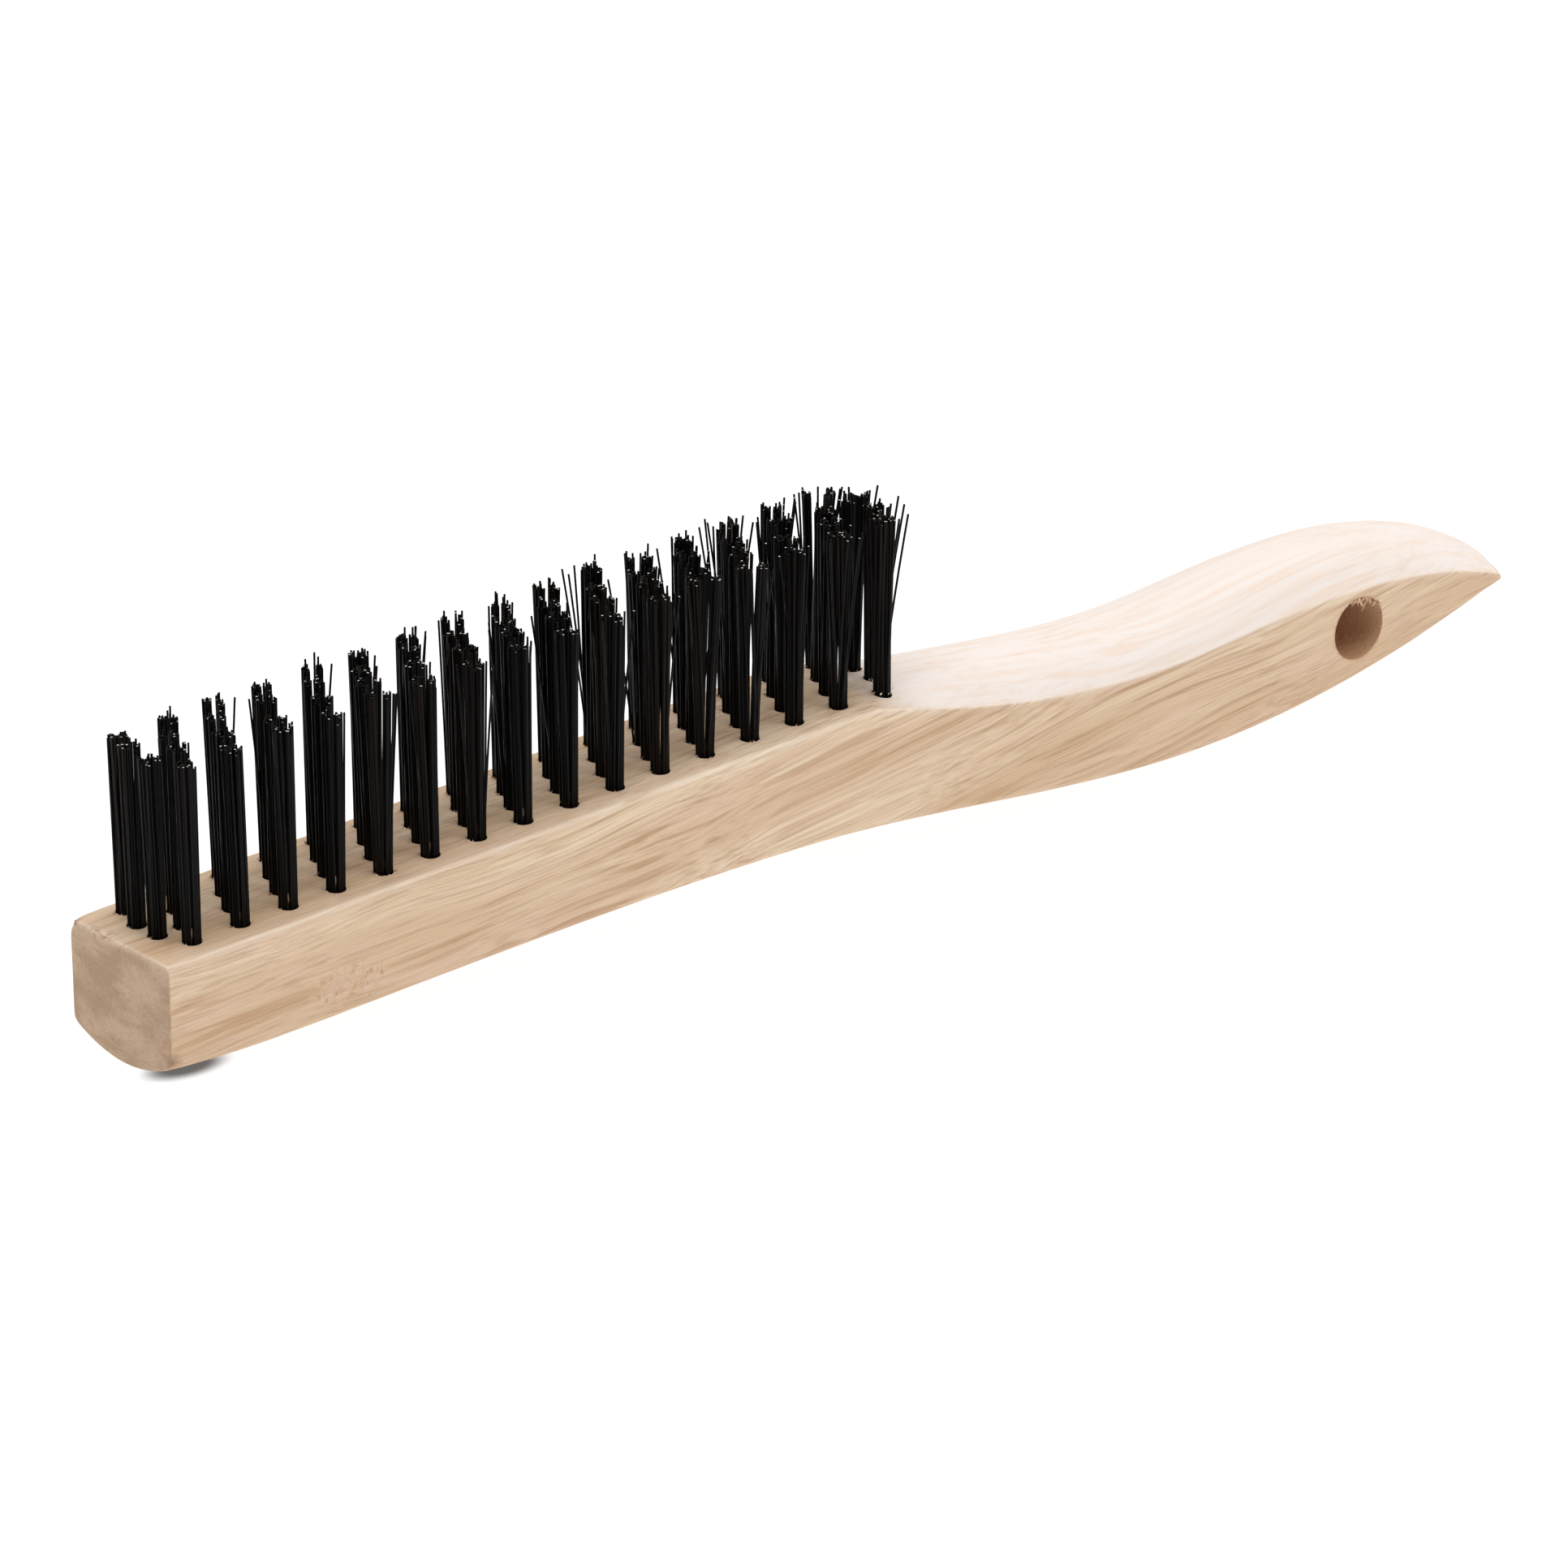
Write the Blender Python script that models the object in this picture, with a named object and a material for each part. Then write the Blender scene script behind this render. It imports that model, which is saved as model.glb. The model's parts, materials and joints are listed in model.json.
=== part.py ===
"""Wire scratch brush: a one-piece hardwood block and handle, wire tufts and the anchors that hold them.

Lengths are in metres and +Z is up. The brush is drawn in its own frame: x runs along the tufted face
from the plain end to the handle's tip, y across it from the middle, and z is 0 on the tufted face.
An empty then tips that frame so that the heel of the block and the belly of the handle rest on a bench.
"""

import math

import bmesh
import bpy
import numpy as np
from mathutils import Matrix, Vector

MM = 0.001
COLLECTION = "wire_brush"
GAP = 0.3 * MM  # left between pieces that touch

# Tuft pattern: four staggered rows, so that the tufts stand in ranks that cross the face at an angle.
# Two outer rows have a tuft at each end. Two inner rows have one more, which squares off both ends.
TUFT_PITCH = 8.5 * MM
TUFTS_PER_OUTER_ROW = 16
ROW_SPACING = 4.65 * MM
ROW_OFFSET = 0.75 * MM  # the rows stand this far off the middle of the face
END_MARGIN = 8.0 * MM  # plain end to the first tuft of an outer row
RANK_LEAN = (0.0, 0.25, 0.54, 0.91)  # how far each tuft of a rank stands past the first, in pitches
END_TUFT_OUTSET = 0.28  # how far an inner row's end tuft stands past the outer rows, in pitches

# Tufts, their holes and their anchors
TRIM = 26.8 * MM  # wire standing above the face
HOLE_DEPTH = 10.0 * MM
TUFT_ROOT_RADIUS = 1.40 * MM
TUFT_TIP_RADIUS = 1.50 * MM
FOLD_THICKNESS = 1.0 * MM  # wire that passes under the anchor
WEB_THICKNESS = 0.5 * MM  # joins the folds of a rank, low in the wood
ANCHOR_HEIGHT = 1.8 * MM
ANCHOR_THICKNESS = 0.4 * MM
ANCHOR_BITE = 0.8 * MM  # how far an anchor reaches into the wood past its hole
ROUND_SIDES = 12

# Block
BLOCK_WIDTH = 22.2 * MM
BLOCK_HEIGHT = 16.4 * MM  # of its flat sides
HEEL_LIFT = 1.0 * MM  # the sides' lower edges rise this far towards the plain end
HEEL_RUN = 20.0 * MM
HEEL_SLOPE = -0.1
BACK_CROWN = 2.9 * MM  # how far the rounded back bulges below the sides' lower edges

# Handle, seen from the side: depths are below the tufted face, down to the top surface's edge
NECK_LEAD = 5.0 * MM  # the neck starts this far before the last outer tuft
NECK_SLOPE = -0.33
NECK_LENGTH = 59.4 * MM
NECK_DEPTH = 10.5 * MM
CREST_RUN = 29.5 * MM  # neck's lowest point to the top of the hand grip
CREST_DEPTH = 9.3 * MM
NOSE_RUN = 38.4 * MM  # top of the hand grip to the tip's corners
NOSE_DEPTH = 15.8 * MM
NOSE_SLOPE = -0.40
NOSE_THICKNESS = 1.0 * MM
NOSE_BULGE = 3.4 * MM  # the middle of the tip stands this far past its corners
GRIP_CROWN = 5.4 * MM
GRIP_SQUARENESS = 2.4  # power of the grip's top curve: 2 is a parabola
BELLY_START = 11.6 * MM  # the back starts down this far before the neck
BELLY_START_DROP = 1.2 * MM
BELLY_START_SLOPE = -0.06
BELLY_RUN = 66.4 * MM  # start of the neck to the lowest point of the belly
BELLY_DEPTH = 25.6 * MM
BELLY_RISE_SLOPE = 0.30

# Hang hole
HANG_HOLE_RADIUS = 5.0 * MM
HANG_HOLE_FROM_TIP = 30.0 * MM
HANG_HOLE_DEPTH = 15.5 * MM
HANG_HOLE_SIDES = 24

# Stations of the loft
HEEL_STATIONS = 4
BLOCK_STATIONS = 9
HANDLE_STATIONS = 19
NOSE_STATIONS = 10
SECTION_POINTS = 10  # an even number leaves a flat strip along the middle of the back

NECK_START = END_MARGIN + (TUFTS_PER_OUTER_ROW - 1) * TUFT_PITCH - NECK_LEAD
NECK_LOW = NECK_START + NECK_LENGTH
CREST = NECK_LOW + CREST_RUN
NOSE = CREST + NOSE_RUN

# Outlines in side view, as knots of (x, z, slope)
TOP_EDGE = (
    (NECK_START, 0.0, NECK_SLOPE),
    (NECK_LOW, -NECK_DEPTH, 0.0),
    (CREST, -CREST_DEPTH, 0.0),
    (NOSE, -NOSE_DEPTH + NOSE_THICKNESS / 2, NOSE_SLOPE),
)
RIDGE = (
    (NECK_START, 0.0, 0.0),
    (NECK_LOW, GRIP_CROWN - NECK_DEPTH, 0.0),
    (CREST, GRIP_CROWN - CREST_DEPTH, 0.0),
)
BACK_EDGE = (
    (0.0, HEEL_LIFT - BLOCK_HEIGHT, HEEL_SLOPE),
    (HEEL_RUN, -BLOCK_HEIGHT, 0.0),
    (NECK_START - BELLY_START, -BLOCK_HEIGHT - BELLY_START_DROP, BELLY_START_SLOPE),
    (NECK_START + BELLY_RUN, -BELLY_DEPTH, 0.0),
    (NOSE, -NOSE_DEPTH - NOSE_THICKNESS / 2, BELLY_RISE_SLOPE),
)


def clear_scene():
    for obj in list(bpy.data.objects):
        bpy.data.objects.remove(obj, do_unlink=True)


def new_collection(name):
    collection = bpy.data.collections.new(name)
    bpy.context.scene.collection.children.link(collection)
    return collection


def new_material(name, color, roughness, metallic):
    material = bpy.data.materials.new(name)
    material.use_nodes = True
    shader = material.node_tree.nodes["Principled BSDF"]
    shader.inputs["Base Color"].default_value = (*color, 1.0)
    shader.inputs["Roughness"].default_value = roughness
    shader.inputs["Metallic"].default_value = metallic
    return material


def new_object(name, bm, collection, parent, material=None, x=0.0):
    """Object made from a bmesh, placed x along the brush."""
    mesh = bpy.data.meshes.new(name)
    bm.to_mesh(mesh)
    bm.free()
    obj = bpy.data.objects.new(name, mesh)
    obj.location.x = x
    obj.parent = parent
    if material:
        mesh.materials.append(material)
        mesh.shade_smooth()
        mesh.set_sharp_from_angle(angle=math.radians(35))
    collection.objects.link(obj)
    return obj


def combine(obj, helper, operation="DIFFERENCE"):
    """Cuts the helper from the object, or joins it on, and keeps the helper out of the model."""
    modifier = obj.modifiers.new(operation.lower() + "_" + helper.name, "BOOLEAN")
    modifier.operation = operation
    modifier.solver = "EXACT"
    modifier.object = helper
    helper.hide_render = True
    helper.display_type = "WIRE"


def height(knots, x):
    """Height at x on the smooth curve through the knots. It is level before the first knot."""
    for (x0, z0, slope0), (x1, z1, slope1) in zip(knots, knots[1:]):
        if x <= x1:
            break
    span = x1 - x0
    t = min(max((x - x0) / span, 0.0), 1.0)
    ends = z0 * (1 + 2 * t) * (1 - t) ** 2 + z1 * t * t * (3 - 2 * t)
    return ends + span * (slope0 * t * (1 - t) ** 2 - slope1 * t * t * (1 - t))


def nose_fraction(x):
    """0 up to the crest of the grip, 1 at the tip's corners."""
    return min(max((x - CREST) / NOSE_RUN, 0.0), 1.0)


def nose_taper(x):
    """How much of a crown is left at x: it runs out in a quarter ellipse at the tip."""
    return math.sqrt(1.0 - nose_fraction(x) ** 2)


def top_height(x, y):
    """The wood's upper surface: flat under the tufts, crowned along the neck and the grip."""
    edge = height(TOP_EDGE, x)
    crown = GRIP_CROWN * nose_taper(x) if x > CREST else height(RIDGE, x) - edge
    across = abs(2 * y / BLOCK_WIDTH)
    return edge + crown * (1 - across**GRIP_SQUARENESS)


def back_height(x, y):
    """The wood's lower surface, rounded across its whole length."""
    across = abs(2 * y / BLOCK_WIDTH)
    return height(BACK_EDGE, x) - BACK_CROWN * nose_taper(x) * (1 - across**2)


def stations():
    nose_turn = np.linspace(0.0, math.pi / 2, NOSE_STATIONS)
    return np.concatenate(
        (
            np.linspace(0.0, HEEL_RUN, HEEL_STATIONS)[:-1],
            np.linspace(HEEL_RUN, NECK_START, BLOCK_STATIONS)[:-1],
            np.linspace(NECK_START, CREST, HANDLE_STATIONS)[:-1],
            CREST + NOSE_RUN * np.sin(nose_turn),
        )
    )


def block_shape():
    """Loft of the wood through its cross-sections, each an upper and a lower line of points."""
    across = BLOCK_WIDTH / 2 * np.sin(np.linspace(-math.pi / 2, math.pi / 2, SECTION_POINTS))
    bm = bmesh.new()
    rings = []
    for x in stations():
        bulge = NOSE_BULGE * nose_fraction(x) ** 2
        places = [(x + bulge * (1 - (2 * y / BLOCK_WIDTH) ** 2), y) for y in across]
        upper = [bm.verts.new((px, y, top_height(x, y))) for px, y in places]
        lower = [bm.verts.new((px, y, back_height(x, y))) for px, y in places]
        rings.append((upper, lower))
    for (upper, lower), (next_upper, next_lower) in zip(rings, rings[1:]):
        for i in range(SECTION_POINTS - 1):
            bm.faces.new((upper[i], next_upper[i], next_upper[i + 1], upper[i + 1]))
            bm.faces.new((lower[i], lower[i + 1], next_lower[i + 1], next_lower[i]))
        for i in (0, SECTION_POINTS - 1):
            bm.faces.new((upper[i], lower[i], next_lower[i], next_upper[i]))
    for upper, lower in (rings[0], rings[-1]):
        for i in range(SECTION_POINTS - 1):
            bm.faces.new((upper[i], upper[i + 1], lower[i + 1], lower[i]))
    bmesh.ops.recalc_face_normals(bm, faces=bm.faces)
    bmesh.ops.dissolve_limit(
        bm, angle_limit=math.radians(0.02), verts=bm.verts, edges=bm.edges, delimit=set()
    )
    return bm


def tuft_ranks():
    """Tuft places rank by rank from the plain end, each rank from the front row to the back."""
    last = TUFTS_PER_OUTER_ROW - 1
    first_rank = [(-END_TUFT_OUTSET, 1), (-END_TUFT_OUTSET, 2), (RANK_LEAN[3] - 1, 3)]
    last_rank = [(last, 0), (last + END_TUFT_OUTSET, 1), (last + END_TUFT_OUTSET, 2)]
    full_ranks = [[(start + lean, row) for row, lean in enumerate(RANK_LEAN)] for start in range(last)]
    middle = (len(RANK_LEAN) - 1) / 2
    return [
        [(END_MARGIN + pitch * TUFT_PITCH, ROW_OFFSET + (row - middle) * ROW_SPACING) for pitch, row in rank]
        for rank in (first_rank, *full_ranks, last_rank)
    ]


def add_round(bm, place, low, high, low_radius, high_radius):
    bmesh.ops.create_cone(
        bm,
        cap_ends=True,
        segments=ROUND_SIDES,
        radius1=low_radius,
        radius2=high_radius,
        depth=high - low,
        matrix=Matrix.Translation((*place, (low + high) / 2)),
    )


def add_strip(bm, places, overhang, thickness, low, high):
    """Flat strip on edge through these places, bent with mitres, running on past both ends."""
    path = [Vector(place) for place in places]
    ways = [(after - before).normalized() for before, after in zip(path, path[1:])]
    path[0] -= overhang * ways[0]
    path[-1] += overhang * ways[-1]
    ends = []
    for index, point in enumerate(path):
        before = ways[max(index - 1, 0)]
        after = ways[min(index, len(ways) - 1)]
        along = (before + after).normalized()
        side = Vector((-along.y, along.x)) * thickness / 2 / along.dot(after)
        corners = ((point - side, low), (point + side, low), (point + side, high), (point - side, high))
        ends.append([bm.verts.new((*place, z)) for place, z in corners])
    for near, far in zip(ends, ends[1:]):
        for i in range(4):
            bm.faces.new((near[i], near[i - 1], far[i - 1], far[i]))
    bm.faces.new(ends[0])
    bm.faces.new(reversed(ends[-1]))
    bmesh.ops.recalc_face_normals(bm, faces=bm.faces)


def tuft_radius(z):
    """The bundle's radius at height z: it opens slightly from its fold to its tip."""
    rise = (z - FOLD_LOW) / (TRIM - FOLD_LOW)
    return TUFT_ROOT_RADIUS + (TUFT_TIP_RADIUS - TUFT_ROOT_RADIUS) * rise


# Heights inside a hole, and the fits that follow from them
FOLD_LOW = GAP - HOLE_DEPTH
FOLD_HIGH = FOLD_LOW + FOLD_THICKNESS
ANCHOR_LOW = FOLD_HIGH + GAP
ANCHOR_HIGH = ANCHOR_LOW + ANCHOR_HEIGHT
HOLE_RADIUS = tuft_radius(0.0) + GAP / math.cos(math.pi / ROUND_SIDES)
ANCHOR_REACH = HOLE_RADIUS + ANCHOR_BITE
SLIT_THICKNESS = max(WEB_THICKNESS, ANCHOR_THICKNESS) + 2 * GAP
ABOVE_FACE = 3.0 * MM  # how far a hole's cutter runs out above the face


def hole_cutter(ranks):
    bm = bmesh.new()
    for place in (place for rank in ranks for place in rank):
        add_round(bm, place, -HOLE_DEPTH, ABOVE_FACE, HOLE_RADIUS, HOLE_RADIUS)
    return bm


def slit_cutter(ranks):
    """Slits in the wood, from hole to hole along each rank, for the anchors and the webs."""
    bm = bmesh.new()
    for rank in ranks:
        add_strip(bm, rank, ANCHOR_REACH + GAP, SLIT_THICKNESS, -HOLE_DEPTH + GAP / 2, ANCHOR_HIGH + GAP)
    return bm


def tuft_bundles(places):
    bm = bmesh.new()
    for place in places:
        add_round(bm, place, FOLD_LOW, TRIM, TUFT_ROOT_RADIUS, TUFT_TIP_RADIUS)
    return bm


def fold_web(places):
    """The web that joins a rank's folds. Its ends lie inside the end tufts."""
    bm = bmesh.new()
    add_strip(bm, places, 0.0, WEB_THICKNESS, FOLD_LOW + GAP / 2, FOLD_HIGH - GAP / 2)
    return bm


def anchor_strip(places):
    bm = bmesh.new()
    add_strip(bm, places, ANCHOR_REACH, ANCHOR_THICKNESS, ANCHOR_LOW, ANCHOR_HIGH)
    return bm


def tuft_windows(places):
    """What the anchor leaves open through the bundles that are folded over it."""
    bm = bmesh.new()
    add_strip(
        bm, places, ANCHOR_REACH, ANCHOR_THICKNESS + 2 * GAP, ANCHOR_LOW - GAP, ANCHOR_HIGH + GAP
    )
    return bm


def hang_hole_cutter():
    bm = bmesh.new()
    centre = Matrix.Translation((NOSE - HANG_HOLE_FROM_TIP, 0.0, -HANG_HOLE_DEPTH))
    along_y = Matrix.Rotation(math.pi / 2, 4, "X")
    bmesh.ops.create_cone(
        bm,
        cap_ends=True,
        segments=HANG_HOLE_SIDES,
        radius1=HANG_HOLE_RADIUS,
        radius2=HANG_HOLE_RADIUS,
        depth=2 * BLOCK_WIDTH,
        matrix=centre @ along_y,
    )
    return bm


def rest_tilt():
    """Angle of the line under the middle of the back that touches the heel and the belly."""
    xs = np.array([x for x in stations() if x <= CREST])
    zs = np.array([back_height(x, 0.0) for x in xs])
    middle = NECK_START * 0.75  # near the centre of mass, which lies between the two contacts
    heel = xs < middle
    belly = ~heel
    run = xs[belly][None, :] - xs[heel][:, None]
    slope = (zs[belly][None, :] - zs[heel][:, None]) / run
    at_middle = zs[heel][:, None] + slope * (middle - xs[heel][:, None])
    return math.atan(slope.flat[np.argmin(at_middle)])


def settle(frame, wood):
    """Tips the brush onto its heel and belly, with the world's origin under the middle of its box."""
    frame.rotation_euler.y = rest_tilt()
    turn = Matrix.Rotation(frame.rotation_euler.y, 4, "Y")
    corners = [turn @ vertex.co for vertex in wood.data.vertices]
    middle_x = (min(point.x for point in corners) + max(point.x for point in corners)) / 2
    frame.location = Vector((-middle_x, 0.0, -min(point.z for point in corners)))


def main():
    clear_scene()
    parts = new_collection(COLLECTION)
    cutters = new_collection("cutters")
    frame = bpy.data.objects.new("brush_frame", None)
    parts.objects.link(frame)
    wood_finish = new_material("bare_hardwood", (0.62, 0.46, 0.31), 0.62, 0.0)
    wire_finish = new_material("oil_tempered_wire", (0.012, 0.011, 0.010), 0.38, 0.85)
    anchor_finish = new_material("flat_anchor_wire", (0.45, 0.44, 0.42), 0.35, 1.0)

    wood = new_object("block_and_handle", block_shape(), parts, frame, wood_finish)
    ranks = tuft_ranks()
    combine(wood, new_object("tuft_holes", hole_cutter(ranks), cutters, frame))
    combine(wood, new_object("anchor_slits", slit_cutter(ranks), cutters, frame))
    combine(wood, new_object("hang_hole", hang_hole_cutter(), cutters, frame))

    for number, rank in enumerate(ranks, start=1):
        start_x = rank[0][0]
        places = [(x - start_x, y) for x, y in rank]
        rank_name = f"rank_{number:02d}"
        tufts = new_object("tufts_" + rank_name, tuft_bundles(places), parts, frame, wire_finish, start_x)
        web = new_object("web_" + rank_name, fold_web(places), cutters, frame, x=start_x)
        windows = new_object("windows_" + rank_name, tuft_windows(places), cutters, frame, x=start_x)
        combine(tufts, web, "UNION")
        combine(tufts, windows)
        new_object("anchors_" + rank_name, anchor_strip(places), parts, frame, anchor_finish, start_x)
    settle(frame, wood)


main()
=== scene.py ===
"""Visual model of a wire scratch brush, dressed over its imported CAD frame.

Lengths are in metres. Shapes are worked out in the brush's own frame: x runs along the tufted face from
the plain end to the handle's tip, y across it, and z is 0 on the face. A BenchPose then tips them onto
the bench as the CAD model stands.
"""

import json
import logging
import math
from dataclasses import dataclass, field
from enum import Enum
from typing import Any

import bmesh
import bpy
import numpy as np
from mathutils import Matrix, Vector


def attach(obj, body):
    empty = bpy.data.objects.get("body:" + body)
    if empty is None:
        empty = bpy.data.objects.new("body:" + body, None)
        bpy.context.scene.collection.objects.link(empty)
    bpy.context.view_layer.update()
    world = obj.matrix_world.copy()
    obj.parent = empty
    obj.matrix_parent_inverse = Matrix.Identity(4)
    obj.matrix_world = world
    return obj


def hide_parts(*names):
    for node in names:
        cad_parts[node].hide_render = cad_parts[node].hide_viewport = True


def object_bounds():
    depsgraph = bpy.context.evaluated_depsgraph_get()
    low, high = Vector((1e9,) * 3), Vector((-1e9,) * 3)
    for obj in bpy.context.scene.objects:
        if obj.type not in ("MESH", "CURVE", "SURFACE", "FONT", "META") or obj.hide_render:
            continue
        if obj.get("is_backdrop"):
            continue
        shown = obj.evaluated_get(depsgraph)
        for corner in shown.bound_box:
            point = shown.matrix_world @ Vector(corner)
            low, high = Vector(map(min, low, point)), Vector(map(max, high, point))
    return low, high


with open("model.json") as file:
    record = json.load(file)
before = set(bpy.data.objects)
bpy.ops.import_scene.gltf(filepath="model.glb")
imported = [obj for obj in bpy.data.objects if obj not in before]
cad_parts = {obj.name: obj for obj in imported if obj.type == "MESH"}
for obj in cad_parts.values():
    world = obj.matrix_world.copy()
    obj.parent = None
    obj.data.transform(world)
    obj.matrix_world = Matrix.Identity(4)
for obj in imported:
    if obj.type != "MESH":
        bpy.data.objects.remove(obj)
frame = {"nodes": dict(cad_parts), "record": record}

LOG = logging.getLogger("wire_brush")
MM = 0.001
NOISE_VALUES = 8192
NOISE_PRIMES = (73856093, 19349663, 83492791)
PLAIN_END_MOUNT_DEPTH = 8 * MM
# Centre of the painted contact shadow on the bench, under the plain end's front lower corner:
HEEL_SHADOW_SPOT = (6.5 * MM, 5.2 * MM, -16 * MM)  # from the plain end, in from the front side, and z
Array = np.ndarray
Knots = tuple[tuple[float, float, float], ...]


# ---------------------------------------------------------------- numbers


def hermite(knots: Knots, x: Array) -> Array:
    """Height of a smooth curve: between two knots a cubic that has their heights and slopes.

    Args:
        knots: (x, z, slope) of each knot, in order of x.
        x: places along the curve; before the first knot and past the last it is level.

    Returns:
        The height at each x.
    """
    xs, zs, slopes = np.array(knots).T
    i = np.clip(np.searchsorted(xs, x) - 1, 0, len(xs) - 2)
    span = xs[i + 1] - xs[i]
    t = np.clip((x - xs[i]) / span, 0.0, 1.0)
    ends = zs[i] * (1 + 2 * t) * (1 - t) ** 2 + zs[i + 1] * t * t * (3 - 2 * t)
    return ends + span * (slopes[i] * t * (1 - t) ** 2 - slopes[i + 1] * t * t * (1 - t))


def smooth(x: Array, low: float, high: float) -> Array:
    """0 below low, 1 above high, and the cubic 3t^2 - 2t^3 between them."""
    t = np.clip((x - low) / (high - low), 0.0, 1.0)
    return t * t * (3 - 2 * t)


def bump_at(points: Array, centre: tuple[float, ...], radii: tuple[float, ...]) -> Array:
    """Bell curve exp(-r^2) of each point's distance from a centre, measured in radii per axis."""
    r = (points - np.array(centre)) / np.array(radii)
    return np.exp(-np.sum(r * r, axis=-1))


@dataclass(frozen=True)
class LatticeNoise:
    """Smooth noise from -1 to 1: seeded values on a lattice, blended over each cell by 3t^2 - 2t^3."""

    seed: int
    cell: tuple[float, float, float]

    def __call__(self, points: Array) -> Array:
        """Noise at each point.

        Args:
            points: places, with x, y and z on the last axis.

        Returns:
            One value per place.
        """
        values = np.random.default_rng(self.seed).uniform(-1, 1, NOISE_VALUES)
        q = points / np.array(self.cell)
        base = np.floor(q).astype(np.int64)
        t = q - base
        t = t * t * (3 - 2 * t)
        total = np.zeros(points.shape[:-1])
        for corner in np.ndindex(2, 2, 2):
            node = base + corner
            i, j, k = (node[..., axis] * prime for axis, prime in enumerate(NOISE_PRIMES))
            weight = np.prod(np.where(np.array(corner) == 1, t, 1 - t), axis=-1)
            total += weight * values[(i ^ j ^ k) % NOISE_VALUES]
        return total


# ---------------------------------------------------------------- meshes


def circle(count: int) -> Array:
    """Points of a unit circle as (count, 2) cosines and sines."""
    angle = np.linspace(0.0, 2 * math.pi, count, endpoint=False)
    return np.stack((np.cos(angle), np.sin(angle)), -1)


def grid_normals(points: Array) -> Array:
    """Unit normals of a grid of rings: the cross product of its two finite-difference tangents.

    Args:
        points: (rings, points per ring, 3), closed round each ring.

    Returns:
        An array of the same shape.
    """
    along = np.gradient(points, axis=0)
    around = np.roll(points, -1, axis=1) - np.roll(points, 1, axis=1)
    normal = np.cross(along, around)
    return normal / np.maximum(np.linalg.norm(normal, axis=-1, keepdims=True), 1e-12)


def ring_faces(rings: int, count: int, flip: bool = False) -> Array:
    """Quads between neighbouring rings of a closed grid whose points are numbered ring by ring.

    Args:
        rings: number of rings.
        count: points in each ring.
        flip: True to turn every face round.

    Returns:
        (faces, 4) point numbers.
    """
    ring, point = np.meshgrid(np.arange(rings - 1), np.arange(count), indexing="ij")
    after = (point + 1) % count
    here, there = ring * count, (ring + 1) * count
    quads = np.stack((here + point, here + after, there + after, there + point), -1).reshape(-1, 4)
    return quads[:, ::-1] if flip else quads


def make_mesh(name: str, points: Array, loops: Array, sizes: Array, weld: float = 0.0) -> bpy.types.Mesh:
    """Mesh from flat arrays, its coinciding points merged on request.

    Args:
        name: the mesh's name.
        points: (points, 3) places.
        loops: point numbers of all faces, one after another.
        sizes: number of points in each face.
        weld: points this near each other become one.

    Returns:
        The mesh.
    """
    mesh = bpy.data.meshes.new(name)
    mesh.vertices.add(len(points))
    mesh.loops.add(len(loops))
    mesh.polygons.add(len(sizes))
    mesh.vertices.foreach_set("co", np.ascontiguousarray(points, np.float32).ravel())
    mesh.loops.foreach_set("vertex_index", np.ascontiguousarray(loops, np.int32).ravel())
    starts = np.concatenate(([0], np.cumsum(sizes)[:-1]))
    mesh.polygons.foreach_set("loop_start", starts.astype(np.int32))
    mesh.update(calc_edges=True)
    mesh.validate()
    if weld:
        shell = bmesh.new()
        shell.from_mesh(mesh)
        bmesh.ops.remove_doubles(shell, verts=shell.verts, dist=weld)
        shell.to_mesh(mesh)
        shell.free()
    return mesh


def vertex_places(mesh: bpy.types.Mesh) -> Array:
    """All vertex places of a mesh as (points, 3)."""
    places = np.empty(len(mesh.vertices) * 3, np.float32)
    mesh.vertices.foreach_get("co", places)
    return places.reshape(-1, 3).astype(float)


def add_values(mesh: bpy.types.Mesh, name: str, values: Array, domain: str = "POINT") -> None:
    """Stores one number per point or face as an attribute."""
    attribute = mesh.attributes.new(name, "FLOAT", domain)
    attribute.data.foreach_set("value", np.ascontiguousarray(values, np.float32))


def link_object(name: str, data: Any) -> bpy.types.Object:
    """Makes an object from its data and links it to the scene."""
    made = bpy.data.objects.new(name, data)
    bpy.context.scene.collection.objects.link(made)
    return made


def add_piece(
    mesh: bpy.types.Mesh,
    finish: bpy.types.Material,
    nodes: tuple[str, ...] = (),
    smooth_to: float = 40.0,
) -> None:
    """Puts a finished mesh into the scene as a piece of the brush.

    Args:
        mesh: the mesh, in place in the row frame.
        finish: its material.
        nodes: CAD nodes that it stands for.
        smooth_to: faces that meet at less than this many degrees are shaded as one surface.
    """
    mesh.materials.clear()
    mesh.materials.append(finish)
    mesh.shade_smooth()
    mesh.set_sharp_from_angle(angle=math.radians(smooth_to))
    piece = link_object(mesh.name, mesh)
    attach(piece, "root")
    if nodes:
        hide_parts(*nodes)
    LOG.info("%s: %d faces", piece.name, len(mesh.polygons))


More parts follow.
